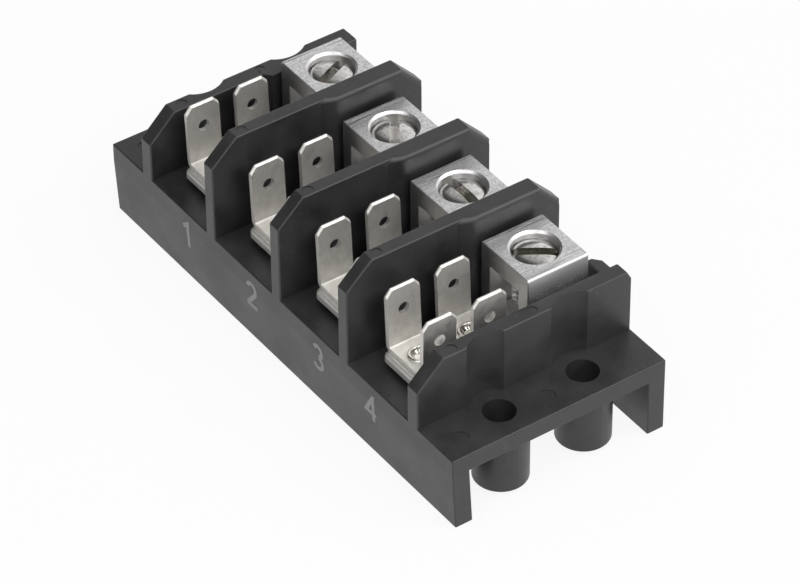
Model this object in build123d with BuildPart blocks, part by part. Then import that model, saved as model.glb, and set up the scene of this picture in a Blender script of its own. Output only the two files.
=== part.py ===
from build123d import *
import os

os.makedirs("parts", exist_ok=True)

# Terminal strip with four poles. All sizes are in millimetres.
# X runs along the row of poles, Y from the label face to the wire side, Z up.
# The origin is the centre of the footprint, level with the bottom of the skirts.

# Row of poles
poles = 4
pitch = 19.05

# Deck, skirts and ears of the housing
deck_top = 14.2
deck_thickness = 3.4
skirt_thickness = 3.3
label_draft = 0.6
ear_length = 9.35
deck_round = 0.25
foot_round = 0.25

# Barriers between the poles, measured up from the deck
barrier_thickness = 2.55
barrier_height = 19.0
front_slope_depth = 4.95
front_slope_height = 4.5
rear_slope_depth = 4.7
rear_slope_height = 5.0
wall_round = 0.3

# End walls, which are lower than the barriers
end_wall_thickness = 2.85
end_wall_height = 12.1
end_slope_depth = 5.0
end_slope_height = 4.8
end_rear_depth = 0.9
end_rear_height = 1.6

# Mounting holes, their bosses and the room for a screwdriver
hole_inset = 5.6
hole_spacing = 16.3
hole_shift = 0.35
hole_radius = 2.75
boss_radius = 4.65
boss_shift = 0.35
boss_recess = 0.85
boss_round = 0.25
driver_radius = 5.2

# Bus strip and the seat that carries it
strip_width = 9.8
strip_thickness = 1.6
strip_front = 4.4
strip_round = 0.6
strip_corner = 1.0
neck_width = 7.2
neck_lead = 0.8
strip_rear_inset = 5.6
seat_height = 1.1
seat_width = 6.8
seat_setback = 1.8

# Folded tab terminals
tab_width = 6.35
sheet = 0.8
tab_height = 11.1
tab_lean = 0.65
fold_half_width = 5.0
fold_radius = 1.2
tip_chamfer_width = 0.95
tip_chamfer_height = 1.1
tip_bevel = 0.3
tab_hole_radius = 1.05
tab_hole_drop = 4.5
front_tab_place = 8.45
tab_spacing = 9.65

# Rivets, clinched above into a ring around a shallow dish
rivet_radius = 1.6
rivet_clearance = 0.05
collar_radius = 2.25
collar_height = 0.5
dish_radius = 1.42
dish_floor = 1.0
dish_depth = 0.4
rivet_head_radius = 2.7
rivet_head_height = 0.9
rivet_head_round = 0.4

# Box lug
lug_width = 12.55
lug_length = 11.9
lug_gap = 3.325
lug_rear_inset = 5.1
lug_roof = 3.55
lug_edge = 0.4
lug_burr = 0.12
window_gap = 0.25
window_height = 10.2
mouth_chamfer = 0.38

# Pocket in the deck under the lug, and where in its play each lug has come to sit
pocket_depth = 0.75
lug_play = 0.45
lug_seating = (0.9, -0.8, -0.8, 0.0)

# Set screw
screw_radius = 3.93
screw_clearance = 0.04
screw_length = 9.5
screw_sink = 0.8
screw_top_chamfer = 0.45
screw_tip_chamfer = 0.9
slot_width = 1.7
slot_depth = 2.0
slot_angles = (115, 145, 0, 55)

# Pads and posts that guide the lug in its bay
pad_thickness = 1.1
pad_lead = 3.2
pad_swell = 2.8
pad_blend = 4.0
pad_round = 0.85
pad_rear_inset = 0.9
end_pad_lead = 2.0
post_gap = 0.6
post_rear_inset = 2.2
post_reach = 3.4
post_bevel_width = 1.4
post_bevel_depth = 1.2

# Ejector pin marks on the moulding
mark_depth = 0.12
mark_radius = 0.95
deck_mark_radius = 1.5
deck_mark_inset = 3.95
deck_mark_places = (4.3, 21.1)
end_wall_mark_places = (7.4, 23.0)
barrier_mark_place = 6.7

# Places that follow from the sizes above
deck_depth = front_tab_place + tab_spacing + tab_width / 2 + lug_gap + lug_length + lug_rear_inset
front = -deck_depth / 2
rear = deck_depth / 2
end_wall_x = poles * pitch / 2
end_wall_face = end_wall_x + end_wall_thickness / 2
half_length = end_wall_face + ear_length
deck_under = deck_top - deck_thickness
barrier_top = deck_top + barrier_height
end_wall_top = deck_top + end_wall_height
bay_centres = [(number - (poles - 1) / 2) * pitch for number in range(poles)]
barrier_centres = [(number - poles / 2) * pitch for number in range(1, poles)]
hole_x = half_length - hole_inset
strip_bottom = deck_top + seat_height
strip_top = strip_bottom + strip_thickness
plate_top = strip_top + sheet
tab_top = plate_top + tab_height
tab_centres = {
    "front": front + front_tab_place,
    "rear": front + front_tab_place + tab_spacing,
}
rivet_spots = [(x, y) for x in bay_centres for y in tab_centres.values()]
rivet_hole_radius = rivet_radius + rivet_clearance
lug_bottom = deck_top - pocket_depth
window_width = neck_width + 2 * window_gap
window_top = strip_bottom + window_height
lug_top = window_top + lug_roof
lug_rear = rear - lug_rear_inset
lug_front = lug_rear - lug_length
lug_y = (lug_front + lug_rear) / 2
lug_shifts = [share * lug_play for share in lug_seating]
screw_top = lug_top - screw_sink


# Deck with its two skirts. The label face leans in below the deck.
with BuildPart() as channel:
    with BuildSketch(Plane.YZ.offset(-half_length)):
        with BuildLine():
            Polyline(
                (front + label_draft, 0),
                (front, deck_under),
                (front, deck_top),
                (rear, deck_top),
                (rear, 0),
                (rear - skirt_thickness, 0),
                (rear - skirt_thickness, deck_under),
                (front + skirt_thickness, deck_under),
                (front + skirt_thickness + label_draft, 0),
                close=True,
            )
        section = make_face()
        fillet(section.vertices().group_by(Axis.Y)[0], foot_round)
    extrude(amount=2 * half_length)
    channel_rims = channel.faces().sort_by(Axis.Z)[-1].edges()
    for end in (channel.faces().sort_by(Axis.X)[0], channel.faces().sort_by(Axis.X)[-1]):
        channel_rims += end.edges()
    fillet(channel_rims, deck_round)


# Barrier between two poles, sloped at both top corners
with BuildPart() as barrier:
    with BuildSketch(Plane.YZ.offset(-barrier_thickness / 2)):
        with BuildLine():
            Polyline(
                (front, deck_under),
                (front, barrier_top - front_slope_height),
                (front + front_slope_depth, barrier_top),
                (rear - rear_slope_depth, barrier_top),
                (rear, barrier_top - rear_slope_height),
                (rear, deck_under),
                close=True,
            )
        make_face()
    extrude(amount=barrier_thickness)
    barrier_base = barrier.faces().sort_by(Axis.Z)[0].edges()
    fillet(barrier.edges() - barrier_base, wall_round)
    with Locations((0, front + barrier_mark_place, barrier_top)):
        Cylinder(mark_radius, 2 * mark_depth, mode=Mode.SUBTRACT)


# End wall, sloped in front and eased at its top rear corner
with BuildPart() as end_wall:
    with BuildSketch(Plane.YZ.offset(-end_wall_thickness / 2)):
        with BuildLine():
            Polyline(
                (front, deck_under),
                (front, end_wall_top - end_slope_height),
                (front + end_slope_depth, end_wall_top),
                (rear - end_rear_depth, end_wall_top),
                (rear, end_wall_top - end_rear_height),
                (rear, deck_under),
                close=True,
            )
        make_face()
    extrude(amount=end_wall_thickness)
    end_wall_base = end_wall.faces().sort_by(Axis.Z)[0].edges()
    fillet(end_wall.edges() - end_wall_base, wall_round)
    with Locations(*[(0, front + place, end_wall_top) for place in end_wall_mark_places]):
        Cylinder(mark_radius, 2 * mark_depth, mode=Mode.SUBTRACT)


# Guide pad on the side of a barrier beside the lug. It swells out of the barrier and rounds over at its top.
pad_start = lug_front - pad_lead
pad_rear = rear - pad_rear_inset
pad_reach = barrier_thickness / 2 + pad_thickness
slope_start = rear - rear_slope_depth
slope_fall = (pad_rear - slope_start) * rear_slope_height / rear_slope_depth
with BuildPart() as barrier_pad:
    with BuildSketch(Plane.YZ):
        with BuildLine():
            Polyline(
                (pad_start, deck_under),
                (pad_start, barrier_top),
                (slope_start, barrier_top),
                (pad_rear, barrier_top - slope_fall),
                (pad_rear, deck_under),
                close=True,
            )
        make_face()
    extrude(amount=pad_reach)
    with BuildSketch(Plane.XY.offset(deck_under)):
        with BuildLine():
            Polyline(
                (0, pad_start),
                (barrier_thickness / 2, pad_start),
                (pad_reach, pad_start + pad_swell),
                (pad_reach, pad_rear),
                (0, pad_rear),
                close=True,
            )
        make_face()
    extrude(amount=barrier_top - deck_under, mode=Mode.INTERSECT)
    fillet(barrier_pad.edges().filter_by(Axis.Z).group_by(Axis.X)[-1].sort_by(Axis.Y)[0], pad_blend)
    pad_rim = barrier_pad.edges().filter_by(
        lambda edge: edge.center().X > barrier_thickness / 2 and edge.center().Z > barrier_top - slope_fall
    )
    fillet(pad_rim, pad_round)


# Guide pad inside the first end wall, level with its top
end_pad_start = lug_front - end_pad_lead
with BuildPart() as end_pad:
    with BuildSketch(Plane.XY.offset(deck_under)):
        with BuildLine():
            Polyline(
                (0, end_pad_start),
                (end_wall_thickness / 2, end_pad_start),
                (end_wall_thickness / 2 + pad_thickness, end_pad_start + pad_thickness),
                (end_wall_thickness / 2 + pad_thickness, pad_rear),
                (0, pad_rear),
                close=True,
            )
        make_face()
    extrude(amount=end_wall_top - deck_under)
    fillet(end_pad.faces().sort_by(Axis.Z)[-1].edges().sort_by(Axis.X)[-1], wall_round)


# Post behind the lug, which keeps it from backing out with the wire
post_front = lug_rear + post_gap
post_rear = rear - post_rear_inset
with BuildPart() as post:
    with BuildSketch(Plane.XY.offset(deck_under)):
        with BuildLine():
            Polyline(
                (wall_round, post_front),
                (-post_reach, post_front),
                (-post_reach, post_rear - post_bevel_depth),
                (-post_reach + post_bevel_width, post_rear),
                (wall_round, post_rear),
                close=True,
            )
        make_face()
    extrude(amount=end_wall_top - deck_under)
    post_rim = post.faces().sort_by(Axis.Z)[-1].edges()
    fillet(post_rim - post_rim.sort_by(Axis.X)[-1:], wall_round)


# Boss under a mounting hole
with BuildPart() as boss:
    with BuildSketch(Plane.XY.offset(boss_recess)):
        Circle(boss_radius)
    extrude(amount=deck_under - boss_recess)
    fillet(boss.edges().sort_by(Axis.Z)[0], boss_round)


# Housing: one moulding with deck, walls, bosses, seats, pockets and guides
with BuildPart() as housing:
    add(channel.part)
    with Locations(*[(x, 0, 0) for x in barrier_centres]):
        add(barrier.part)
        add(barrier_pad.part)
    with Locations((-end_wall_x, 0, 0), (end_wall_x, 0, 0)):
        add(end_wall.part)
    with Locations((-end_wall_x, 0, 0)):
        add(end_pad.part)
    with Locations(*[(x - barrier_thickness / 2, 0, 0) for x in barrier_centres]):
        add(post.part)
    with Locations((end_wall_x - end_wall_thickness / 2, 0, 0)):
        add(post.part)

    # Bosses under the mounting holes
    hole_spots = [(x, hole_shift + y) for x in (-hole_x, hole_x) for y in (-hole_spacing / 2, hole_spacing / 2)]
    with Locations(*[(x, y + boss_shift, 0) for x, y in hole_spots]):
        add(boss.part)

    # Raised seats under the bus strips
    seat_front = front + strip_front + seat_setback
    pocket_front = lug_front - lug_play
    with BuildSketch(Plane.XY.offset(deck_top)):
        with Locations(*[(x, (seat_front + pocket_front) / 2) for x in bay_centres]):
            Rectangle(seat_width, pocket_front - seat_front)
    extrude(amount=seat_height)

    # Pockets that locate the lugs
    with BuildSketch(Plane.XY.offset(lug_bottom)):
        with Locations(*[(x, lug_y) for x in bay_centres]):
            Rectangle(lug_width + 2 * lug_play, lug_length + 2 * lug_play)
    extrude(amount=pocket_depth, mode=Mode.SUBTRACT)

    # Rivet holes
    with BuildSketch(Plane.XY.offset(strip_bottom)):
        with Locations(*rivet_spots):
            Circle(rivet_hole_radius)
    extrude(amount=-(seat_height + deck_thickness), mode=Mode.SUBTRACT)

    # Mounting holes, and the grooves in the end walls that let a screwdriver pass
    with BuildSketch(Plane.XY.offset(deck_top)):
        with Locations(*hole_spots):
            Circle(hole_radius)
    extrude(amount=-deck_top, mode=Mode.SUBTRACT)
    with BuildSketch(Plane.XY.offset(deck_top)):
        with Locations(*hole_spots):
            Circle(driver_radius)
    extrude(amount=end_wall_height, mode=Mode.SUBTRACT)

    # Ejector pin marks on the deck
    deck_mark_x = half_length - deck_mark_inset
    deck_marks = [(x, front + y) for x in (-deck_mark_x, deck_mark_x) for y in deck_mark_places]
    with BuildSketch(Plane.XY.offset(deck_top)):
        with Locations(*deck_marks):
            Circle(deck_mark_radius)
    extrude(amount=-mark_depth, mode=Mode.SUBTRACT)
housing.part.label = "housing"
export_step(housing.part, "parts/housing.step")


# Bus strip, with its front end rounded and a neck that passes through the lug
strip_start = front + strip_front
strip_end = rear - strip_rear_inset
neck_start = pocket_front - neck_lead
with BuildPart() as bus_strip:
    with BuildSketch(Plane.XY.offset(strip_bottom)):
        with Locations((0, (strip_start + neck_start) / 2)):
            Rectangle(strip_width, neck_start - strip_start)
        with Locations((0, (strip_start + strip_end) / 2)):
            Rectangle(neck_width, strip_end - strip_start)
        with Locations(*[(0, y) for y in tab_centres.values()]):
            Circle(rivet_hole_radius, mode=Mode.SUBTRACT)
    extrude(amount=strip_thickness)
    strip_corners = bus_strip.edges().filter_by(Axis.Z).sort_by(Axis.Y)[:2]
    fillet(strip_corners, strip_corner)
    strip_nose = bus_strip.faces().sort_by(Axis.Y)[0].edges().sort_by(Axis.Z)[-1]
    fillet(strip_nose, strip_round)


# Tab terminal: one sheet folded into a U, its far leg leaning out a little
with BuildPart() as tab_terminal:
    with BuildSketch(Plane.XZ.offset(-tab_width / 2)):
        with BuildLine():
            FilletPolyline(
                (-fold_half_width - tab_lean, tab_top),
                (-fold_half_width, strip_top),
                (fold_half_width, strip_top),
                (fold_half_width + tab_lean / 4, tab_top),
                radius=fold_radius,
            )
            offset(amount=sheet, side=Side.LEFT)
        make_face()
    extrude(amount=tab_width)
    with BuildSketch(Plane.YZ.offset(-2 * fold_half_width)):
        for side in (-1, 1):
            with BuildLine():
                Polyline(
                    (side * (tab_width / 2 - 2 * tip_chamfer_width), tab_top + tip_chamfer_height),
                    (side * tab_width / 2, tab_top - tip_chamfer_height),
                    (side * (tab_width / 2 + sheet), tab_top - tip_chamfer_height),
                    (side * (tab_width / 2 + sheet), tab_top + tip_chamfer_height),
                    close=True,
                )
            make_face()
    extrude(amount=4 * fold_half_width, mode=Mode.SUBTRACT)
    shoulder = tab_top - tip_chamfer_height
    tip_edges = tab_terminal.edges().filter_by(
        lambda edge: edge.center().Z > shoulder and edge.length > 1.2 * sheet
    )
    chamfer(tip_edges, tip_bevel)
    with BuildSketch(Plane.YZ.offset(-2 * fold_half_width)):
        with Locations((0, tab_top - tab_hole_drop)):
            Circle(tab_hole_radius)
    extrude(amount=4 * fold_half_width, mode=Mode.SUBTRACT)
    with Locations((0, 0, strip_top)):
        Cylinder(rivet_hole_radius, 3 * sheet, mode=Mode.SUBTRACT)


# Rivet, clinched above and with a flat head under the deck
head_bottom = deck_under - rivet_head_height
with BuildPart() as rivet:
    with BuildSketch(Plane.XZ):
        with BuildLine():
            FilletPolyline(
                (0, plate_top - dish_depth),
                (0, head_bottom),
                (rivet_head_radius, head_bottom),
                (rivet_head_radius, deck_under),
                radius=rivet_head_round,
            )
            Polyline(
                (rivet_head_radius, deck_under),
                (rivet_radius, deck_under),
                (rivet_radius, plate_top),
                (collar_radius, plate_top),
            )
            ThreePointArc(
                (collar_radius, plate_top),
                ((collar_radius + dish_radius) / 2, plate_top + collar_height),
                (dish_radius, plate_top),
            )
            Polyline(
                (dish_radius, plate_top),
                (dish_floor, plate_top - dish_depth),
                (0, plate_top - dish_depth),
            )
        make_face()
    revolve(axis=Axis.Z)


# Box lug: extruded block with a window for the wire. The tap for the screw also bites into the window's sides.
with BuildPart() as lug:
    with BuildSketch(Plane.XZ.offset(-lug_length / 2)):
        with Locations((0, (lug_bottom + lug_top) / 2)):
            Rectangle(lug_width, lug_top - lug_bottom)
        with Locations((0, (strip_bottom + window_top) / 2)):
            RectangleRounded(window_width, window_height, window_gap, mode=Mode.SUBTRACT)
    extrude(amount=lug_length)
    lug_corners = lug.edges().filter_by(Axis.Y).group_by(SortBy.DISTANCE)[-1]
    fillet(lug_corners, lug_edge)
    for sawn_face in (lug.faces().sort_by(Axis.Y)[0], lug.faces().sort_by(Axis.Y)[-1]):
        chamfer(sawn_face.outer_wire().edges(), lug_burr)
    with BuildSketch(Plane.XY.offset(lug_top)):
        Circle(screw_radius + screw_clearance)
    extrude(amount=strip_bottom - lug_top, mode=Mode.SUBTRACT)
    mouth = lug.edges().filter_by(GeomType.CIRCLE).group_by(Axis.Z)[-1]
    chamfer(mouth, mouth_chamfer)


# Set screw, with a slot across its top and a chamfered tip
with BuildPart() as set_screw:
    with BuildSketch(Plane.XY.offset(screw_top)):
        Circle(screw_radius)
    extrude(amount=-screw_length)
    screw_rims = set_screw.edges().filter_by(GeomType.CIRCLE).sort_by(Axis.Z)
    chamfer(screw_rims[-1], screw_top_chamfer)
    chamfer(screw_rims[0], screw_tip_chamfer)
    with BuildSketch(Plane.XY.offset(screw_top)):
        Rectangle(3 * screw_radius, slot_width)
    extrude(amount=-slot_depth, mode=Mode.SUBTRACT)


# One set of metal pieces in each bay
for number, x in enumerate(bay_centres, start=1):
    shift = lug_shifts[number - 1]
    angle = slot_angles[number - 1]
    pieces = {
        f"bus_strip_{number}": bus_strip.part.moved(Location((x, 0, 0))),
        f"lug_{number}": lug.part.moved(Location((x, lug_y + shift, 0))),
        f"set_screw_{number}": set_screw.part.moved(Location((x, lug_y + shift, 0), (0, 0, angle))),
    }
    for place, y in tab_centres.items():
        pieces[f"{place}_tab_{number}"] = tab_terminal.part.moved(Location((x, y, 0)))
        pieces[f"{place}_rivet_{number}"] = rivet.part.moved(Location((x, y, 0)))
    for label, piece in pieces.items():
        piece.label = label
        export_step(piece, f"parts/{label}.step")
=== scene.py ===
"""Terminal strip with four poles: finishes, screw threads, pole numbers, light and camera."""
import logging
import math
from collections.abc import Sequence
from dataclasses import dataclass, replace
from enum import Enum

import bmesh
import bpy
from mathutils import Matrix, Vector


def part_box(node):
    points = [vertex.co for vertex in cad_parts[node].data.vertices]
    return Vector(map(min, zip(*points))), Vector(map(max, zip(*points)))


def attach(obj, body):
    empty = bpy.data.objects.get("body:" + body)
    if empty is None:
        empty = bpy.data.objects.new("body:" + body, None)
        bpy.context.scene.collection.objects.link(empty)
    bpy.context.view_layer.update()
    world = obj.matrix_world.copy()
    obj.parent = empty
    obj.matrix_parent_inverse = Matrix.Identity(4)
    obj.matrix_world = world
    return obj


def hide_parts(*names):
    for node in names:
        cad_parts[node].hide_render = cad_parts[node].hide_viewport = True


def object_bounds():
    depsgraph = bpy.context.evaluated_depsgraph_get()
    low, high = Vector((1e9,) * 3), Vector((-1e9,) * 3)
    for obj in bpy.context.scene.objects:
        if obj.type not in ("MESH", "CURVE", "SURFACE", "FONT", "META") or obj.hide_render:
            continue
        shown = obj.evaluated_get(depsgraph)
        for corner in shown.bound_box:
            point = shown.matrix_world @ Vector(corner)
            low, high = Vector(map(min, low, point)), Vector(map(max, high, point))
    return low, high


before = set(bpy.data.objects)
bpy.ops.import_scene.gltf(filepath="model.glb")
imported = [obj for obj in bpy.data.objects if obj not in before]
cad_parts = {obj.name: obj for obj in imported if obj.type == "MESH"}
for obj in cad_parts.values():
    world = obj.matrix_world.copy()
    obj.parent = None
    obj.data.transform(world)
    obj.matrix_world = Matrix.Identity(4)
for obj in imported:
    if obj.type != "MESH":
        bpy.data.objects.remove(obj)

CAD_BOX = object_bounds()
MM = 0.001
INCH = 25.4 * MM
POLES = 4
POLE_PITCH = (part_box("set_screw_2")[0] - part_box("set_screw_1")[0]).x
ARC_STEPS = 16

Socket = bpy.types.NodeSocket
Colour = tuple[float, float, float]
Range = tuple[float, float]
Stroke = list[tuple[float, float]]

log = logging.getLogger("terminal_strip")


class Direction(Enum):
    """The way that the marks on a worked surface run, as a stretch of the pattern along X, Y and Z."""

    ALONG_X = (0.04, 1.0, 1.0)
    ALONG_Y = (1.0, 0.02, 1.0)
    ALONG_Z = (1.0, 1.0, 0.05)
    NONE = (1.0, 1.0, 1.0)


@dataclass(frozen=True)
class Marks:
    """One kind of mark on a finish, drawn from noise.

    Attributes:
        size: The size of the marks across their run, in metres.
        start: The noise value at which a mark begins to show.
        end: The noise value at which it shows in full.
        direction: The way in which the marks are drawn out.
        detail: How many finer layers they hold.
        depth: The real depth of their relief, in metres.
        strength: How much of that relief shows.
    """

    size: float
    start: float = 0.0
    end: float = 1.0
    direction: Direction = Direction.NONE
    detail: float = 3.0
    depth: float = 0.0
    strength: float = 1.0


class Surface:
    """A material's node tree, with short ways to add and join its nodes."""

    def __init__(self, name: str, colour: Colour, metallic: float = 0.0) -> None:
        """Makes a material with one Principled shader.

        Args:
            name: The material's name.
            colour: Base colour, linear red, green and blue.
            metallic: 1 for bare metal, 0 for everything else.
        """
        self.material = bpy.data.materials.new(name)
        self.material.use_nodes = True
        self.tree = self.material.node_tree
        self.tree.nodes.clear()
        self.output = self.add("ShaderNodeOutputMaterial")
        self.shader = self.add("ShaderNodeBsdfPrincipled")
        self.join(self.shader.outputs["BSDF"], self.output.inputs["Surface"])
        self.shader.inputs["Base Color"].default_value = (*colour, 1.0)
        self.shader.inputs["Metallic"].default_value = metallic
        self.place = self.add("ShaderNodeTexCoord").outputs["Object"]
        self.normal: Socket | None = None
        self.material.diffuse_color = (*colour, 1.0)

    def add(self, kind: str, **settings: object) -> bpy.types.Node:
        """Adds a node.

        Args:
            kind: Blender's identifier of the node type.
            settings: Properties to set on the node.

        Returns:
            The new node.
        """
        node = self.tree.nodes.new(kind)
        for name, value in settings.items():
            setattr(node, name, value)
        return node

    def join(self, source: Socket, target: Socket) -> None:
        """Links an output to an input."""
        self.tree.links.new(source, target)

    def draw(self, marks: Marks) -> Socket:
        """Draws one kind of mark and returns how fully it shows, from 0 to 1."""
        mapping = self.add("ShaderNodeMapping")
        mapping.inputs["Scale"].default_value = marks.direction.value
        self.join(self.place, mapping.inputs["Vector"])
        noise = self.add("ShaderNodeTexNoise")
        noise.inputs["Scale"].default_value = 1.0 / marks.size
        noise.inputs["Detail"].default_value = marks.detail
        self.join(mapping.outputs["Vector"], noise.inputs["Vector"])
        return self.ramp(noise.outputs["Fac"], marks.start, marks.end)

    def ramp(self, value: Socket, start: float, end: float) -> Socket:
        """Measures a value against a range.

        Args:
            value: The value to measure.
            start: Where the result is 0.
            end: Where the result is 1.

        Returns:
            The measure, held within 0 and 1.
        """
        node = self.add("ShaderNodeMapRange")
        node.inputs["From Min"].default_value = start
        node.inputs["From Max"].default_value = end
        self.join(value, node.inputs["Value"])
        return node.outputs["Result"]

    def spread(self, value: Socket, low: float, high: float) -> Socket:
        """Maps a measure onto another range.

        Args:
            value: A measure from 0 to 1.
            low: The result where the measure is 0.
            high: The result where the measure is 1.

        Returns:
            The mapped value, held within low and high.
        """
        node = self.add("ShaderNodeMapRange")
        node.inputs["To Min"].default_value = low
        node.inputs["To Max"].default_value = high
        self.join(value, node.inputs["Value"])
        return node.outputs["Result"]

    def along(self, axis: str, low: float, high: float) -> Socket:
        """Measures a place along one axis of the part.

        Args:
            axis: X, Y or Z.
            low: Where the result is 0, in metres.
            high: Where the result is 1, in metres.

        Returns:
            The measure, from 0 to 1.
        """
        split = self.add("ShaderNodeSeparateXYZ")
        self.join(self.place, split.inputs["Vector"])
        return self.ramp(split.outputs[axis], low, high)

    def off_middle(self, low: float, high: float) -> Socket:
        """Measures how far a place lies to either side of the middle of its bay.

        Args:
            low: Where the result is 0, as a share of the pole pitch.
            high: Where the result is 1, as a share of the pole pitch.

        Returns:
            The measure, from 0 to 1.
        """
        split = self.add("ShaderNodeSeparateXYZ")
        self.join(self.place, split.inputs["Vector"])
        bays = self.add("ShaderNodeMath", operation="DIVIDE")
        bays.inputs[1].default_value = POLE_PITCH
        share = self.add("ShaderNodeMath", operation="FRACT")
        centred = self.add("ShaderNodeMath", operation="SUBTRACT")
        centred.inputs[1].default_value = 0.5
        distance = self.add("ShaderNodeMath", operation="ABSOLUTE")
        self.join(split.outputs["X"], bays.inputs[0])
        self.join(bays.outputs["Value"], share.inputs[0])
        self.join(share.outputs["Value"], centred.inputs[0])
        self.join(centred.outputs["Value"], distance.inputs[0])
        return self.ramp(distance.outputs["Value"], low, high)

    def off_axis(self, axis_y: float, low: float, high: float) -> Socket:
        """Measures how far a place lies from an upright axis in the middle of its bay.

        Args:
            axis_y: The axis's place along Y, in metres.
            low: The distance at which the result is 0, in metres.
            high: The distance at which the result is 1, in metres.

        Returns:
            The measure, from 0 to 1.
        """
        flat = self.add("ShaderNodeVectorMath", operation="MULTIPLY")
        flat.inputs[1].default_value = (1.0, 1.0, 0.0)
        bay = self.add("ShaderNodeVectorMath", operation="WRAP")
        bay.inputs[1].default_value = (POLE_PITCH, 1.0, 1.0)
        bay.inputs[2].default_value = (0.0, -1.0, -1.0)
        distance = self.add("ShaderNodeVectorMath", operation="DISTANCE")
        distance.inputs[1].default_value = (POLE_PITCH / 2, axis_y, 0.0)
        self.join(self.place, flat.inputs[0])
        self.join(flat.outputs["Vector"], bay.inputs[0])
        self.join(bay.outputs["Vector"], distance.inputs[0])
        return self.ramp(distance.outputs["Value"], low, high)

    def facing(self, axis: str, low: float, high: float) -> Socket:
        """Measures how squarely the surface faces along one axis, either way.

        Args:
            axis: X, Y or Z.
            low: The cosine at which the result is 0.
            high: The cosine at which the result is 1.

        Returns:
            The measure, from 0 to 1.
        """
        split = self.add("ShaderNodeSeparateXYZ")
        self.join(self.add("ShaderNodeTexCoord").outputs["Normal"], split.inputs["Vector"])
        size = self.add("ShaderNodeMath", operation="ABSOLUTE")
        self.join(split.outputs[axis], size.inputs[0])
        return self.ramp(size.outputs["Value"], low, high)

    def calc(self, operation: str, *values: Socket) -> Socket:
        """Joins values, one after another, by one of Blender's Math operations.

        Args:
            operation: Blender's name of the operation.
            values: Two values or more.

        Returns:
            The result.
        """
        total, *others = values
        for value in others:
            node = self.add("ShaderNodeMath", operation=operation)
            self.join(total, node.inputs[0])
            self.join(value, node.inputs[1])
            total = node.outputs["Value"]
        return total

    def tint(self, amount: Socket, first: Colour, second: Colour) -> None:
        """Blends the base colour between two colours.

        Args:
            amount: 0 gives the first colour and 1 the second.
            first: Linear red, green and blue.
            second: Linear red, green and blue.
        """
        mix = self.add("ShaderNodeMix", data_type="RGBA")
        mix.inputs["A"].default_value = (*first, 1.0)
        mix.inputs["B"].default_value = (*second, 1.0)
        self.join(amount, mix.inputs["Factor"])
        self.join(mix.outputs["Result"], self.shader.inputs["Base Color"])

    def tint_over(self, amount: Socket, colour: Colour) -> None:
        """Blends the tint that is there towards one more colour.

        Args:
            amount: 0 leaves the tint as it is and 1 gives the colour.
            colour: Linear red, green and blue.
        """
        target = self.shader.inputs["Base Color"]
        mix = self.add("ShaderNodeMix", data_type="RGBA")
        mix.inputs["B"].default_value = (*colour, 1.0)
        self.join(target.links[0].from_socket, mix.inputs["A"])
        self.join(amount, mix.inputs["Factor"])
        self.join(mix.outputs["Result"], target)

    def roughen(self, value: Socket) -> None:
        """Drives the roughness."""
        self.join(value, self.shader.inputs["Roughness"])

    def emboss(self, marks: Marks, height: Socket | None = None) -> None:
        """Adds the relief of one kind of mark on top of those before it.

        Args:
            marks: The marks, with their depth and strength.
            height: The relief, from 0 to 1, where it is not simply the marks as drawn.
        """
        if height is None:
            height = self.draw(marks)
        node = self.add("ShaderNodeBump")
        node.inputs["Distance"].default_value = marks.depth
        node.inputs["Strength"].default_value = marks.strength
        self.join(height, node.inputs["Height"])
        if self.normal is not None:
            self.join(self.normal, node.inputs["Normal"])
        self.normal = node.outputs["Normal"]
        self.join(self.normal, self.shader.inputs["Normal"])


@dataclass(frozen=True)
class MouldedPlastic:
    """Black thermoplastic as it comes from a spark-eroded mould."""

    name: str = "black_moulding"
    colour: Colour = (0.0175, 0.0168, 0.0178)
    pale: Colour = (0.032, 0.0307, 0.0322)
    flow: Marks = Marks(6.0 * MM, 0.35, 0.7, detail=4.0)
    rubs: Marks = Marks(1.1 * MM, 0.56, 0.7, detail=6.0)
    haze: Marks = Marks(6.0 * MM, 0.3, 0.7, detail=4.0)
    roughness: Range = (0.36, 0.5)
    grain: Marks = Marks(0.09 * MM, detail=2.0, depth=0.006 * MM, strength=0.35)
    scuffs: Marks = Marks(0.35 * MM, 0.45, 0.75, Direction.ALONG_X, 5.0, depth=0.012 * MM, strength=0.4)
    specular_level: float = 0.6

    def material(self) -> bpy.types.Material:
        """Returns the finished material."""
        surface = Surface(self.name, self.colour)
        streaks = surface.calc("MAXIMUM", surface.draw(self.rubs), surface.draw(self.flow))
        surface.tint(streaks, self.colour, self.pale)
        surface.roughen(surface.spread(surface.draw(self.haze), *self.roughness))
        surface.emboss(self.grain)
        surface.emboss(self.scuffs)
        surface.shader.inputs["Specular IOR Level"].default_value = self.specular_level
        return surface.material


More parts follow.
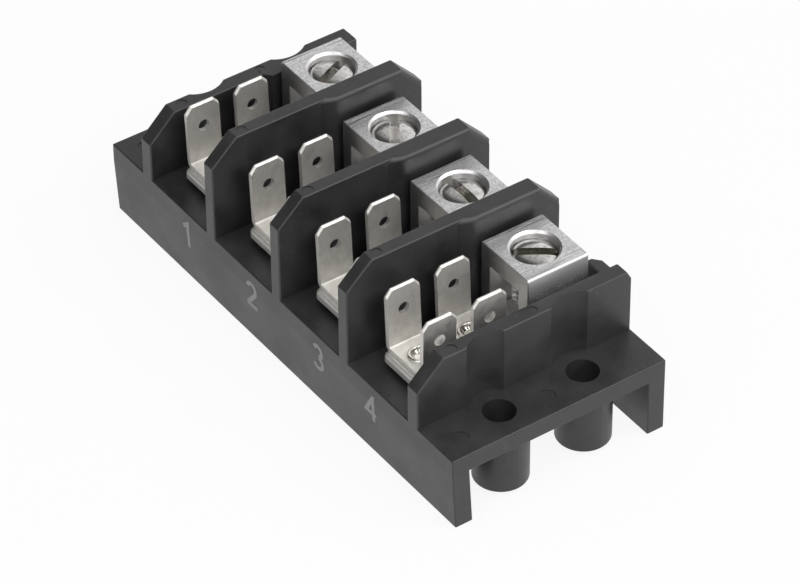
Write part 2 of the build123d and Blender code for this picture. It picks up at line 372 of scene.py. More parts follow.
@dataclass(frozen=True)
class SawnAluminium:
    """Extruded aluminium, gritty all over, scored along its outer edges, pitted low on its outer sides, and
    with painted shade on the faces that do not look up.

    Attributes:
        square: The cosines between which a face counts as facing along an axis.
        grit_share: How fully the grit shows on the tops.
        upright_grit: The share of that grit on faces that do not look up.
        scored_zone: Where the scores gather, off a bay's middle, as shares of the pitch.
        score_shares: How strong the scores are, inside that zone's start and past its end.
        outer_zone: Where a lug's outer sides lie, off a bay's middle, as shares of the pitch.
        pitted_heights: Where the pits begin, and where they are in full, further down.
        side_shade: The least painted shade on the faces that do not look up.
        side_roughness: The least roughness of the sides.
    """

    name: str = "sawn_aluminium"
    colour: Colour = (0.88, 0.87, 0.87)
    # Dull colour of the grit, scores and pits, and also the colour of the painted shade on the faces that do
    # not look up
    dull: Colour = (0.36, 0.355, 0.36)
    square: Range = (0.8, 0.98)
    grit: Marks = Marks(0.34 * MM, 0.46, 0.62, detail=4.0, depth=0.05 * MM, strength=0.6)
    grit_share: float = 0.5
    upright_grit: float = 0.25
    scores: Marks = Marks(0.24 * MM, 0.48, 0.58, Direction.ALONG_Y, 2.0, depth=0.04 * MM, strength=0.7)
    scored_zone: Range = (0.16, 0.28)
    score_shares: Range = (0.35, 0.85)
    pits: Marks = Marks(0.3 * MM, 0.49, 0.6, detail=4.0, depth=0.06 * MM, strength=0.8)
    outer_zone: Range = (0.25, 0.3)
    pitted_heights: Range = (27.2 * MM, 25.0 * MM)
    haze: Marks = Marks(0.34 * MM, 0.35, 0.65, detail=4.0)
    roughness: Range = (0.28, 0.44)
    side_shade: float = 0.38
    side_roughness: float = 0.5

    def material(self) -> bpy.types.Material:
        """Returns the finished material."""
        surface = Surface(self.name, self.colour, metallic=1.0)
        tops = surface.facing("Z", *self.square)
        sides = surface.facing("X", *self.square)
        outer = surface.off_middle(*self.outer_zone)
        low_down = surface.along("Z", *self.pitted_heights)
        grit = surface.spread(surface.draw(self.grit), 0.0, self.grit_share)
        gritty = surface.calc("MULTIPLY", grit, surface.spread(tops, self.upright_grit, 1.0))
        edges = surface.spread(surface.off_middle(*self.scored_zone), *self.score_shares)
        scored = surface.calc("MULTIPLY", surface.draw(self.scores), tops, edges)
        pitted = surface.calc("MULTIPLY", surface.draw(self.pits), sides, outer, low_down)
        # Painted shade: the faces that do not look up are darkened towards the dull colour
        painted_side_shade = surface.spread(tops, self.side_shade, 0.0)
        surface.tint(surface.calc("MAXIMUM", gritty, scored, pitted, painted_side_shade), self.colour, self.dull)
        haze = surface.spread(surface.draw(self.haze), *self.roughness)
        surface.roughen(surface.calc("MAXIMUM", haze, surface.spread(sides, 0.0, self.side_roughness)))
        surface.emboss(self.grit, gritty)
        surface.emboss(self.scores, scored)
        surface.emboss(self.pits, pitted)
        return surface.material


@dataclass(frozen=True)
class TinPlate:
    """Rolled sheet with a satin tin plate and faint rolling lines."""

    name: str
    direction: Direction
    colour: Colour = (0.76, 0.745, 0.715)
    dull: Colour = (0.66, 0.645, 0.61)
    clouds: Marks = Marks(1.6 * MM, 0.4, 0.68, detail=4.0)
    haze: Marks = Marks(1.6 * MM, 0.3, 0.7, detail=4.0)
    roughness: Range = (0.5, 0.62)
    lines: Marks = Marks(0.12 * MM, depth=0.006 * MM, strength=0.35)

    def material(self) -> bpy.types.Material:
        """Returns the finished material."""
        surface = Surface(self.name, self.colour, metallic=1.0)
        surface.tint(surface.draw(self.clouds), self.colour, self.dull)
        surface.roughen(surface.spread(surface.draw(self.haze), *self.roughness))
        surface.emboss(replace(self.lines, direction=self.direction))
        return surface.material


@dataclass(frozen=True)
class BrightPlate:
    """Turned or rolled metal with a bright, uneven plate."""

    name: str
    colour: Colour = (0.66, 0.645, 0.61)
    stain: Colour = (0.47, 0.44, 0.38)
    clouds: Marks = Marks(0.7 * MM, 0.48, 0.75, detail=5.0)
    haze: Marks = Marks(0.7 * MM, 0.35, 0.7, detail=5.0)
    roughness: Range = (0.14, 0.28)
    ripples: Marks = Marks(0.7 * MM / 3, detail=2.0, depth=0.008 * MM, strength=0.5)

    def surface(self) -> Surface:
        """Builds the plate's nodes."""
        surface = Surface(self.name, self.colour, metallic=1.0)
        surface.tint(surface.draw(self.clouds), self.colour, self.stain)
        surface.roughen(surface.spread(surface.draw(self.haze), *self.roughness))
        surface.emboss(self.ripples)
        return surface

    def material(self) -> bpy.types.Material:
        """Returns the finished material."""
        return self.surface().material


@dataclass(frozen=True)
class ScrewPlate(BrightPlate):
    """The set screws' plate, with painted shade down in the driver slot.

    Attributes:
        top: The height of the screws' tops.
        axis_y: The place of their axes along Y.
        shaded_depths: Where the painted shade begins below the top, and where it is in full.
        last_depths: Where it is still in full below the slot, and where it ends.
        shaded_radii: Where the painted shade ends at the threads, and where it is in full within them.
    """

    name: str = "screw_plate"
    colour: Colour = (0.66, 0.65, 0.63)
    stain: Colour = (0.42, 0.405, 0.375)
    roughness: Range = (0.1, 0.24)
    ripples: Marks = Marks(0.7 * MM / 3, detail=2.0, depth=0.015 * MM, strength=0.5)
    # Colour of the painted shade in the driver slot
    slot_shade: Colour = (0.39, 0.375, 0.345)
    top: float = 0.0
    axis_y: float = 0.0
    shaded_depths: Range = (0.8 * MM, 1.6 * MM)
    last_depths: Range = (2.4 * MM, 2.5 * MM)
    shaded_radii: Range = (3.33 * MM, 3.1 * MM)

    def surface(self) -> Surface:
        """Builds the plate's nodes and paints shade on them within the slot, but not on the threads or the
        tip.
        """
        surface = super().surface()
        shade_start_depth, full_shade_depth = self.shaded_depths
        last, ended = self.last_depths
        deep = surface.along("Z", self.top - shade_start_depth, self.top - full_shade_depth)
        above_tip = surface.along("Z", self.top - ended, self.top - last)
        inside = surface.off_axis(self.axis_y, *self.shaded_radii)
        # Painted shade: darkens the slot below the top, inside the threads and above the tip
        surface.tint_over(surface.calc("MULTIPLY", deep, inside, above_tip), self.slot_shade)
        return surface


@dataclass(frozen=True)
class PaleInk:
    """Pad-printed ink, a little worn where the moulding's grain stands proud."""

    name: str = "pale_ink"
    colour: Colour = (0.27, 0.265, 0.265)
    worn: Colour = (0.16, 0.157, 0.157)
    wear: Marks = Marks(0.12 * MM, 0.5, 0.72)
    grain: Marks = Marks(0.12 * MM)
    roughness: Range = (0.5, 0.65)

    def material(self) -> bpy.types.Material:
        """Returns the finished material."""
        surface = Surface(self.name, self.colour)
        surface.tint(surface.draw(self.wear), self.colour, self.worn)
        surface.roughen(surface.spread(surface.draw(self.grain), *self.roughness))
        return surface.material


class Recipe:
    """A Geometry Nodes tree, with short ways to add its inputs and join its nodes."""

    def __init__(self, name: str) -> None:
        """Starts an empty tree with one geometry output.

        Args:
            name: The tree's name.
        """
        self.tree = bpy.data.node_groups.new(name, "GeometryNodeTree")
        self.tree.interface.new_socket("Geometry", in_out="OUTPUT", socket_type="NodeSocketGeometry")
        self.entry = self.add("NodeGroupInput")
        self.exit = self.add("NodeGroupOutput")

    def add(self, kind: str, **settings: object) -> bpy.types.Node:
        """Adds a node and sets the properties named in settings."""
        node = self.tree.nodes.new(kind)
        for name, value in settings.items():
            setattr(node, name, value)
        return node

    def size(self, name: str) -> Socket:
        """Adds a named number to the tree's inputs and returns the socket that gives it inside the tree."""
        self.tree.interface.new_socket(name, in_out="INPUT", socket_type="NodeSocketFloat")
        return self.entry.outputs[name]

    def join(self, source: Socket, target: Socket) -> None:
        """Links an output to an input."""
        self.tree.links.new(source, target)

    def calc(self, operation: str, *values: Socket | float) -> Socket:
        """Adds a Math node.

        Args:
            operation: Blender's name of the operation.
            values: Sockets or plain numbers, in order.

        Returns:
            The result.
        """
        node = self.add("ShaderNodeMath", operation=operation)
        for socket, value in zip(node.inputs, values):
            if isinstance(value, (int, float)):
                socket.default_value = value
            else:
                self.join(value, socket)
        return node.outputs["Value"]

    def vector(self, *parts: Socket | float) -> Socket:
        """Joins three numbers into a vector and returns its socket."""
        node = self.add("ShaderNodeCombineXYZ")
        for socket, value in zip(node.inputs, parts):
            if isinstance(value, (int, float)):
                socket.default_value = value
            else:
                self.join(value, socket)
        return node.outputs["Vector"]

    def bake(self, name: str, sizes: dict[str, float]) -> bpy.types.Object:
        """Runs the tree once and keeps its result as a plain mesh.

        Args:
            name: The new piece's name.
            sizes: Values for the tree's named inputs.

        Returns:
            The piece, at the origin, with no modifier on it.
        """
        carrier = bpy.data.objects.new(f"{name}_carrier", bpy.data.meshes.new(f"{name}_carrier"))
        bpy.context.scene.collection.objects.link(carrier)
        modifier = carrier.modifiers.new("recipe", "NODES")
        modifier.node_group = self.tree
        for item in self.tree.interface.items_tree:
            if item.in_out == "INPUT" and item.name in sizes:
                modifier[item.identifier] = sizes[item.name]
        graph = bpy.context.evaluated_depsgraph_get()
        graph.update()
        mesh = bpy.data.meshes.new_from_object(carrier.evaluated_get(graph), depsgraph=graph)
        bpy.data.objects.remove(carrier)
        mesh.name = name
        piece = bpy.data.objects.new(name, mesh)
        bpy.context.scene.collection.objects.link(piece)
        return piece


def dress(node: str, material: bpy.types.Material) -> None:
    """Gives a carried-over solid its material.

    Args:
        node: The solid's node.
        material: The finish that all its slots take.
    """
    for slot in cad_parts[node].material_slots:
        slot.material = material


def arc(x: float, y: float, radius: float, start: float, end: float) -> Stroke:
    """Finds points along an arc.

    Args:
        x: The centre's place across.
        y: The centre's height.
        radius: The arc's radius.
        start: The angle of the first point, in degrees.
        end: The angle of the last point, in degrees.

    Returns:
        The points, in order.
    """
    angles = [math.radians(start + (end - start) * step / ARC_STEPS) for step in range(ARC_STEPS + 1)]
    return [(x + radius * math.cos(angle), y + radius * math.sin(angle)) for angle in angles]


# The strokes of each figure, as places across and up, in shares of its height
DIGITS: dict[int, list[Stroke]] = {
    1: [[(-0.2, 0.74), (0.04, 0.93), (0.04, 0.0)]],
    2: [[*arc(0.0, 0.71, 0.22, 165, -40), (-0.22, 0.09)], [(-0.29, 0.07), (0.28, 0.07)]],
    3: [arc(0.0, 0.73, 0.2, 155, -80), arc(0.0, 0.295, 0.225, 80, -155)],
    4: [[(0.12, 0.0), (0.12, 1.0)], [(0.12, 0.93), (-0.24, 0.29), (0.28, 0.29)]],
}


@dataclass
class Housing:
    """The black moulding and the pole numbers printed on its label face.

    Attributes:
        node: The moulding's node.
        label_draft: How far the label face leans in at its foot.
        crease_height: The height above which it is upright.
        number_height: The height of a number.
        number_middle: The height of its middle.
        number_shifts: How far each number stands off the middle of its pole.
        stroke_share: The width of a stroke, as a share of the number's height.
        ink_thickness: The thickness of one stroke's ink.
    """

    node: str = "housing"
    label_draft: float = 0.6 * MM
    crease_height: float = 10.8 * MM
    number_height: float = 5.4 * MM
    number_middle: float = 9.6 * MM
    number_shifts: tuple[float, ...] = (2.3 * MM, 2.3 * MM, 2.3 * MM, -2.0 * MM)
    stroke_share: float = 0.15
    ink_thickness: float = 0.015 * MM

    def build(self) -> None:
        """Dresses the moulding and prints a number beside each pole."""
        dress(self.node, MouldedPlastic().material())
        ink = PaleInk().material()
        for pole in range(1, POLES + 1):
            self.print_number(pole, ink)

    def label_face(self, height: float) -> float:
        """Returns the Y of the label face at a height, which leans in below its crease."""
        low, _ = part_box(self.node)
        return low.y + self.label_draft * max(0.0, 1.0 - height / self.crease_height)

    def print_number(self, pole: int, ink: bpy.types.Material) -> None:
        """Prints one pole's number.

        Args:
            pole: The pole, counted from the left.
            ink: The ink's material.
        """
        centre = (pole - (POLES + 1) / 2) * POLE_PITCH + self.number_shifts[pole - 1]
        foot = Vector((centre, self.number_middle - self.number_height / 2))
        mesh = bpy.data.meshes.new(f"pole_number_{pole}")
        for layer, stroke in enumerate(DIGITS[pole], start=1):
            shape = bmesh.new()
            self.draw_stroke(shape, [foot + self.number_height * Vector(place) for place in stroke])
            self.lay_on_face(shape, layer * self.ink_thickness)
            shape.from_mesh(mesh)
            shape.to_mesh(mesh)
            shape.free()
        mesh.materials.append(ink)
        piece = bpy.data.objects.new(f"pole_number_{pole}", mesh)
        bpy.context.scene.collection.objects.link(piece)
        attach(piece, "root")
        log.info("%s: %d faces", piece.name, len(mesh.polygons))

    def draw_stroke(self, shape: bmesh.types.BMesh, points: Sequence[Vector]) -> None:
        """Adds a flat band of even width along a path, mitred at its corners.

        Args:
            shape: The figure that takes the band, upright in the plane of X and Z.
            points: The path, as places across and up.
        """
        half = self.stroke_share * self.number_height / 2
        ways = [(end - start).normalized() for start, end in zip(points, points[1:])]
        rims = []
        for point, before, after in zip(points, [ways[0], *ways], [*ways, ways[-1]]):
            side = (before + after).orthogonal().normalized()
            reach = half / side.dot(after.orthogonal())
            edge = reach * side
            rims.append([shape.verts.new((place.x, 0.0, place.y)) for place in (point - edge, point + edge)])
        for (low, high), (next_low, next_high) in zip(rims, rims[1:]):
            shape.faces.new((low, next_low, next_high, high))

    def lay_on_face(self, shape: bmesh.types.BMesh, thickness: float) -> None:
        """Bends a flat stroke over the crease of the label face and makes it solid.

        Args:
            shape: The stroke, upright, changed in place.
            thickness: How far it stands off the face, so that crossing strokes do not share one plane.
        """
        bmesh.ops.bisect_plane(shape, geom=shape.verts[:] + shape.edges[:] + shape.faces[:],
                               plane_co=(0, 0, self.crease_height), plane_no=(0, 0, 1))
        grown = bmesh.ops.extrude_face_region(shape, geom=shape.faces[:])
        outer = {item for item in grown["geom"] if isinstance(item, bmesh.types.BMVert)}
        for vertex in shape.verts:
            lift = thickness if vertex in outer else 0.0
            vertex.co.y = self.label_face(vertex.co.z) - lift
        bmesh.ops.recalc_face_normals(shape, faces=shape.faces[:])


@dataclass
class SetScrews:
    """The slotted set screws, with their threads cut.

    Attributes:
        turns_per_inch: The thread's turns in an inch.
        thread_depth: How deep the thread is cut.
        flank_gain: How steep the flanks are, where 1 leaves no flat at the root.
        root_blend: How softly a flank runs into the flat root.
        top_chamfer: The chamfer round the top.
        tip_chamfer: The chamfer round the tip.
        slot_width: The width of the driver slot.
        slot_depth: Its depth below the dome's foot.
        slot_angles: The way that each screw's slot points, in degrees.
        cutter_reach: The length of the slot's cutter, in radii.
        dome: How far the top swells.
        dome_edge_share: The share of the dome that falls away near its edge.
        dome_edge_power: How close to the edge that share falls.
        dome_rings: The rings of faces in the top.
        level_gap: How near the blank's top a point counts as on it.
        rows_per_turn: The rows of faces in one turn of the thread.
        columns: The faces round the screw.
        sharp_angle: The angle in degrees above which an edge stays sharp.
    """

    turns_per_inch: int = 24
    thread_depth: float = 0.6 * MM
    flank_gain: float = 1.25
    root_blend: float = 0.2
    top_chamfer: float = 0.45 * MM
    tip_chamfer: float = 0.9 * MM
    slot_width: float = 1.7 * MM
    slot_depth: float = 2.0 * MM
    slot_angles: tuple[float, ...] = (115.0, 145.0, 0.0, 55.0)
    cutter_reach: float = 3.0
    dome: float = 0.3 * MM
    dome_edge_share: float = 0.6
    dome_edge_power: float = 3.0
    dome_rings: int = 12
    level_gap: float = 0.001 * MM
    rows_per_turn: int = 12
    columns: int = 96
    sharp_angle: float = 30.0

    def build(self) -> None:
        """Cuts a threaded screw over each plain one."""
        low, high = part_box("set_screw_1")
        plate = ScrewPlate(top=high.z, axis_y=(low.y + high.y) / 2)
        recipe = self.recipe(plate.material())
        for pole in range(1, POLES + 1):
            node = f"set_screw_{pole}"
            low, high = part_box(node)
            sizes = {
                "Radius": (high.x - low.x) / 2,
                "Length": high.z - low.z,
                "Slot angle": math.radians(self.slot_angles[pole - 1]),
                "X": (low.x + high.x) / 2,
                "Y": (low.y + high.y) / 2,
                "Top": high.z,
            }
            piece = recipe.bake(f"threaded_screw_{pole}", sizes)
            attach(piece, node)
            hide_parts(node)
            log.info("%s: %d faces", piece.name, len(piece.data.polygons))

    def recipe(self, material: bpy.types.Material) -> Recipe:
        """Builds the tree for one threaded, chamfered and slotted screw.

        Args:
            material: The screw's finish.

        Returns:
            The tree, with the screw's sizes as named inputs.
        """
        tree = Recipe("threaded_screw")
        radius = tree.size("Radius")
        length = tree.size("Length")
        angle = tree.size("Slot angle")
        x = tree.size("X")
        y = tree.size("Y")
        top = tree.size("Top")
        stem = tree.calc("SUBTRACT", length, self.dome)
        half = tree.calc("MULTIPLY", stem, 0.5)
        threaded = self.cut_thread(tree, radius, stem)
        slotted = self.cut_slot(tree, threaded, radius, half, angle)
        creased = self.crease(tree, slotted)

        seated = tree.add("GeometryNodeTransform")
        tree.join(creased, seated.inputs["Geometry"])
        middle = tree.calc("SUBTRACT", tree.calc("SUBTRACT", top, self.dome), half)
        tree.join(tree.vector(x, y, middle), seated.inputs["Translation"])
        finished = tree.add("GeometryNodeRealizeInstances")
        tree.join(seated.outputs["Geometry"], finished.inputs["Geometry"])
        coated = tree.add("GeometryNodeSetMaterial")
        coated.inputs["Material"].default_value = material
        tree.join(finished.outputs["Geometry"], coated.inputs["Geometry"])
        tree.join(coated.outputs["Geometry"], tree.exit.inputs["Geometry"])
        return tree

    def cut_thread(self, tree: Recipe, radius: Socket, stem: Socket) -> Socket:
        """Turns a cylinder into a threaded rod with chamfered ends and a domed top.

        Args:
            tree: The tree that takes the nodes.
            radius: The thread's outer radius.
            stem: The rod's length below the dome.

        Returns:
            The rod, upright and centred.
        """
        lead = INCH / self.turns_per_inch
        blank = tree.add("GeometryNodeMeshCylinder", fill_type="TRIANGLE_FAN")
        blank.inputs["Vertices"].default_value = self.columns
        blank.inputs["Fill Segments"].default_value = self.dome_rings
        rows = tree.calc("CEIL", tree.calc("MULTIPLY", stem, self.rows_per_turn / lead))
        tree.join(rows, blank.inputs["Side Segments"])
        tree.join(radius, blank.inputs["Radius"])
        tree.join(stem, blank.inputs["Depth"])

        place = tree.add("ShaderNodeSeparateXYZ")
        tree.join(tree.add("GeometryNodeInputPosition").outputs["Position"], place.inputs["Vector"])
        px, py, pz = place.outputs
        turn = tree.calc("DIVIDE", tree.calc("ARCTAN2", py, px), math.tau)
        phase = tree.calc("FRACT", tree.calc("SUBTRACT", tree.calc("DIVIDE", pz, lead), turn))
        wave = tree.calc("ABSOLUTE", tree.calc("MULTIPLY_ADD", phase, 2.0, -1.0))
        flank = tree.calc("SMOOTH_MIN", tree.calc("MULTIPLY", wave, self.flank_gain), 1.0, self.root_blend)
        groove = tree.calc("SUBTRACT", radius, tree.calc("MULTIPLY", flank, self.thread_depth))

        half = tree.calc("MULTIPLY", stem, 0.5)
        from_top = tree.calc("SUBTRACT", half, pz)
        from_tip = tree.calc("ADD", half, pz)
        below_top = tree.calc("ADD", tree.calc("SUBTRACT", radius, self.top_chamfer), from_top)
        above_tip = tree.calc("ADD", tree.calc("SUBTRACT", radius, self.tip_chamfer), from_tip)
        wall = tree.calc("MINIMUM", groove, tree.calc("MINIMUM", below_top, above_tip))
        share = tree.calc("DIVIDE", wall, radius)

        off_axis = tree.calc("ADD", tree.calc("MULTIPLY", px, px), tree.calc("MULTIPLY", py, py))
        reach = tree.calc("DIVIDE", off_axis, tree.calc("MULTIPLY", radius, radius))
        edge = self.dome * self.dome_edge_share
        rounding = tree.calc("MULTIPLY_ADD", tree.calc("POWER", reach, self.dome_edge_power), -edge, edge)
        swell = tree.calc("MULTIPLY_ADD", reach, edge - self.dome, self.dome - edge)
        on_top = tree.calc("LESS_THAN", from_top, self.level_gap)
        rise = tree.calc("MULTIPLY", tree.calc("ADD", rounding, swell), on_top)

        moved = tree.vector(
            tree.calc("MULTIPLY", px, share),
            tree.calc("MULTIPLY", py, share),
            tree.calc("ADD", pz, rise),
        )
        cut = tree.add("GeometryNodeSetPosition")
        tree.join(blank.outputs["Mesh"], cut.inputs["Geometry"])
        tree.join(moved, cut.inputs["Position"])
        return cut.outputs["Geometry"]

    def cut_slot(self, tree: Recipe, rod: Socket, radius: Socket, half: Socket, angle: Socket) -> Socket:
        """Cuts the driver slot across the top of a rod.

        Args:
            tree: The tree that takes the nodes.
            rod: The rod, upright and centred.
            radius: The rod's radius.
            half: Half the rod's length below the dome.
            angle: The way that the slot points, in radians.

        Returns:
            The slotted rod.
        """
        cutter = tree.add("GeometryNodeMeshCube")
        length = tree.calc("MULTIPLY", radius, self.cutter_reach)
        tree.join(tree.vector(length, self.slot_width, 2 * self.slot_depth), cutter.inputs["Size"])
        turned = tree.add("GeometryNodeTransform")
        tree.join(cutter.outputs["Mesh"], turned.inputs["Geometry"])
        tree.join(tree.vector(0.0, 0.0, half), turned.inputs["Translation"])
        tree.join(tree.vector(0.0, 0.0, angle), turned.inputs["Rotation"])
        slot = tree.add("GeometryNodeMeshBoolean", operation="DIFFERENCE", solver="MANIFOLD")
        tree.join(rod, slot.inputs["Mesh 1"])
        tree.join(turned.outputs["Geometry"], slot.inputs["Mesh 2"])
        return slot.outputs["Mesh"]

    def crease(self, tree: Recipe, rod: Socket) -> Socket:
        """Shades a rod smooth but for its steep edges.

        Args:
            tree: The tree that takes the nodes.
            rod: The rod.

        Returns:
            The shaded rod.
        """
        rounded = tree.add("GeometryNodeSetShadeSmooth", domain="FACE")
        tree.join(rod, rounded.inputs["Geometry"])
        creased = tree.add("GeometryNodeSetShadeSmooth", domain="EDGE")
        creased.inputs["Shade Smooth"].default_value = False
        bend = tree.add("GeometryNodeInputMeshEdgeAngle").outputs["Unsigned Angle"]
        steep = tree.add("FunctionNodeCompare", data_type="FLOAT", operation="GREATER_THAN")
        steep.inputs["B"].default_value = math.radians(self.sharp_angle)
        tree.join(bend, steep.inputs["A"])
        tree.join(rounded.outputs["Geometry"], creased.inputs["Geometry"])
        tree.join(steep.outputs["Result"], creased.inputs["Selection"])
        return creased.outputs["Geometry"]


@dataclass
class ContactSet:
    """The fixed metal pieces of every pole: lug, bus strip, tabs and rivets."""

    places: tuple[str, ...] = ("front", "rear")

    def build(self) -> None:
        """Dresses each solid in its own metal."""
        aluminium = SawnAluminium().material()
        bar_plate = TinPlate("bar_tin_plate", Direction.ALONG_Y).material()
        tab_plate = TinPlate("tab_tin_plate", Direction.ALONG_Z).material()
        rivet_plate = BrightPlate("rivet_plate").material()
        for pole in range(1, POLES + 1):
            dress(f"lug_{pole}", aluminium)
            dress(f"bus_strip_{pole}", bar_plate)
            for place in self.places:
                dress(f"{place}_tab_{pole}", tab_plate)
                dress(f"{place}_rivet_{pole}", rivet_plate)
            log.info("pole %d dressed", pole)


@dataclass(frozen=True)
class PhotoCamera:
    """The camera of the photograph: where it looks, from how far, and through what lens.

    Attributes:
        azimuth: How far round it stands from the front, in degrees.
        elevation: How far up it stands, in degrees.
        roll: How far it is tipped about its own line of sight, in degrees.
        distance: How far it is from its target.
        target: The place that it looks at.
        sensor: The width of its sensor, in millimetres.
        lens: Its focal length, in millimetres.
        nearest: The nearest distance that it sees, in metres.
        farthest: The farthest distance that it sees, in metres.
    """

    azimuth: float = 55.16
    elevation: float = 40.15
    roll: float = -0.51
    distance: float = 750.0 * MM
    target: tuple[float, float, float] = (19.04 * MM, -9.66 * MM, 22.68 * MM)
    sensor: float = 36.0
    lens: float = 213.16
    nearest: float = 0.05
    farthest: float = 20.0

    def build(self) -> None:
        """Makes the camera and gives it to the scene."""
        azimuth = math.radians(self.azimuth)
        elevation = math.radians(self.elevation)
        away = Vector((
            math.sin(azimuth) * math.cos(elevation),
            -math.cos(azimuth) * math.cos(elevation),
            math.sin(elevation),
        ))
        right = (-away).cross(Vector((0, 0, 1))).normalized()
        up = right.cross(-away)
        roll = math.radians(self.roll)
        across = math.cos(roll) * right + math.sin(roll) * up
        upward = -math.sin(roll) * right + math.cos(roll) * up
        turn = Matrix((across, upward, away)).transposed().to_4x4()
        data = bpy.data.cameras.new("photo_camera")
        data.sensor_width = self.sensor
        data.lens = self.lens
        data.clip_start = self.nearest
        data.clip_end = self.farthest
        camera = bpy.data.objects.new("photo_camera", data)
        camera.matrix_world = Matrix.Translation(Vector(self.target) + self.distance * away) @ turn
        bpy.context.scene.collection.objects.link(camera)
        bpy.context.scene.camera = camera


@dataclass(frozen=True)
class SoftBox:
    """One large soft lamp aimed at the part.

    Attributes:
        name: The lamp's name.
        place: Where it hangs, in metres.
        width: Its width, in metres.
        height: Its height, in metres.
        power: Its power, in watts.
    """

    name: str
    place: tuple[float, float, float]
    width: float
    height: float
    power: float

    def build(self, aim: Vector) -> None:
        """Makes the lamp.

        Args:
            aim: The point that it faces.
        """
        data = bpy.data.lights.new(self.name, "AREA")
        data.shape = "RECTANGLE"
        data.size = self.width
        data.size_y = self.height
        data.energy = self.power
        lamp = bpy.data.objects.new(self.name, data)
        lamp.location = self.place
        lamp.rotation_mode = "QUATERNION"
        lamp.rotation_quaternion = (aim - lamp.location).to_track_quat("-Z", "Y")
        bpy.context.scene.collection.objects.link(lamp)


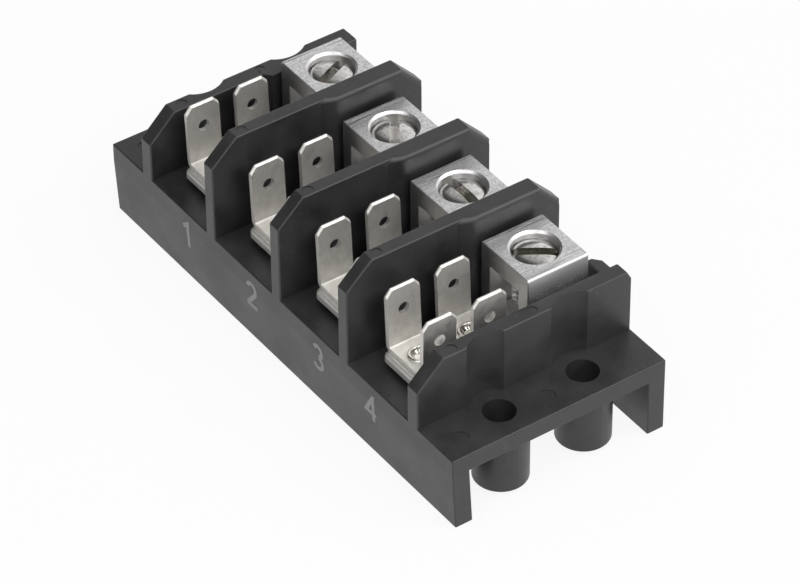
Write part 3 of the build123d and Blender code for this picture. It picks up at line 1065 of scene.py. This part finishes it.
@dataclass(frozen=True)
class Studio:
    """White floor, white surroundings under a dimmer ceiling, and soft lamps.

    Attributes:
        surround: How strongly the surroundings light the part.
        ceiling: How bright the ceiling is in reflections.
        ceiling_lean: The way up to the ceiling's middle.
        ceiling_zone: How far along that way the ceiling begins, and where it is in full.
        floor_half: Half the floor's width, in metres.
        floor_colour: The floor's colour, linear red, green and blue.
        floor_glow: The share of white in the floor as it is seen, where the rest takes the shadow.
        lamps: The soft lamps.
    """

    surround: float = 0.4
    ceiling: float = 0.08
    ceiling_lean: tuple[float, float, float] = (-0.6, -0.6, 1.0)
    ceiling_zone: Range = (0.65, 0.95)
    floor_half: float = 3.0
    floor_colour: Colour = (0.86, 0.86, 0.86)
    floor_glow: float = 0.9
    lamps: tuple[SoftBox, ...] = (
        SoftBox("top_soft_box", (0.1, -0.05, 1.0), 0.5, 0.5, 2.2),
        SoftBox("front_soft_box", (-0.2, -0.95, 0.45), 0.7, 0.5, 0.4),
        SoftBox("wire_side_soft_box", (0.6, 0.65, 0.8), 0.5, 0.4, 3.4),
        SoftBox("end_soft_box", (1.0, -0.15, 0.4), 0.6, 0.5, 1.2),
        SoftBox("left_of_camera_soft_box", (0.27, -0.75, 0.86), 0.6, 0.3, 1.7),
        SoftBox("right_of_camera_soft_box", (0.8, 0.0, 0.86), 0.6, 0.3, 2.4),
    )

    def build(self) -> None:
        """Makes the floor, the surroundings and the lamps."""
        low, high = CAD_BOX
        middle = (low + high) / 2
        self.build_floor(low.z)
        self.build_surroundings()
        for lamp in self.lamps:
            lamp.build(middle)
        bpy.context.scene.view_settings.view_transform = "Standard"

    def seen(self, tree: bpy.types.NodeTree) -> Socket:
        """Returns 1 on rays from the camera and on reflected or transmitted ones."""
        path = tree.nodes.new("ShaderNodeLightPath")
        total = path.outputs["Is Camera Ray"]
        for name in ("Is Glossy Ray", "Is Transmission Ray"):
            larger = tree.nodes.new("ShaderNodeMath")
            larger.operation = "MAXIMUM"
            tree.links.new(total, larger.inputs[0])
            tree.links.new(path.outputs[name], larger.inputs[1])
            total = larger.outputs["Value"]
        return total

    def build_floor(self, height: float) -> None:
        """Makes the floor, which glows white where it is seen and still takes a shadow.

        Args:
            height: Its height, in metres.
        """
        half = self.floor_half
        mesh = bpy.data.meshes.new("studio_floor")
        corners = [(-half, -half, height), (half, -half, height), (half, half, height), (-half, half, height)]
        mesh.from_pydata(corners, [], [(0, 1, 2, 3)])
        floor = bpy.data.objects.new("studio_floor", mesh)
        bpy.context.scene.collection.objects.link(floor)
        material = bpy.data.materials.new("studio_floor")
        material.use_nodes = True
        tree = material.node_tree
        tree.nodes.clear()
        output = tree.nodes.new("ShaderNodeOutputMaterial")
        matt = tree.nodes.new("ShaderNodeBsdfDiffuse")
        matt.inputs["Color"].default_value = (*self.floor_colour, 1.0)
        glow = tree.nodes.new("ShaderNodeEmission")
        blend = tree.nodes.new("ShaderNodeMixShader")
        share = tree.nodes.new("ShaderNodeMath")
        share.operation = "MULTIPLY"
        share.inputs[1].default_value = self.floor_glow
        tree.links.new(self.seen(tree), share.inputs[0])
        tree.links.new(share.outputs["Value"], blend.inputs["Fac"])
        tree.links.new(matt.outputs["BSDF"], blend.inputs[1])
        tree.links.new(glow.outputs["Emission"], blend.inputs[2])
        tree.links.new(blend.outputs["Shader"], output.inputs["Surface"])
        mesh.materials.append(material)

    def build_surroundings(self) -> None:
        """Makes the world white where it is seen, and softer where it only lights."""
        world = bpy.data.worlds.new("white_surroundings")
        world.use_nodes = True
        tree = world.node_tree
        tree.nodes.clear()
        output = tree.nodes.new("ShaderNodeOutputWorld")
        sky = tree.nodes.new("ShaderNodeBackground")
        sky.inputs["Color"].default_value = (1.0, 1.0, 1.0, 1.0)
        place = tree.nodes.new("ShaderNodeTexCoord")
        height = tree.nodes.new("ShaderNodeVectorMath")
        height.operation = "DOT_PRODUCT"
        height.inputs[1].default_value = self.ceiling_lean
        begins, full = self.ceiling_zone
        ceiling = tree.nodes.new("ShaderNodeMapRange")
        ceiling.inputs["From Min"].default_value = begins
        ceiling.inputs["From Max"].default_value = full
        ceiling.inputs["To Min"].default_value = 1.0
        ceiling.inputs["To Max"].default_value = self.ceiling
        reflected = tree.nodes.new("ShaderNodeMapRange")
        reflected.inputs["To Min"].default_value = self.surround
        direct = tree.nodes.new("ShaderNodeMapRange")
        direct.inputs["To Max"].default_value = 1.0
        path = tree.nodes.new("ShaderNodeLightPath")
        tree.links.new(place.outputs["Generated"], height.inputs[0])
        tree.links.new(height.outputs["Value"], ceiling.inputs["Value"])
        tree.links.new(self.seen(tree), reflected.inputs["Value"])
        tree.links.new(ceiling.outputs["Result"], reflected.inputs["To Max"])
        tree.links.new(path.outputs["Is Camera Ray"], direct.inputs["Value"])
        tree.links.new(reflected.outputs["Result"], direct.inputs["To Min"])
        tree.links.new(direct.outputs["Result"], sky.inputs["Strength"])
        tree.links.new(sky.outputs["Background"], output.inputs["Surface"])
        bpy.context.scene.world = world


def main() -> None:
    """Builds the sub-assemblies, the studio and the camera."""
    logging.basicConfig(level=logging.INFO, format="%(name)s: %(message)s")
    PhotoCamera().build()
    Studio().build()
    for assembly in (Housing(), ContactSet(), SetScrews()):
        assembly.build()
        log.info("%s built", type(assembly).__name__)


if __name__ == "__main__":
    main()
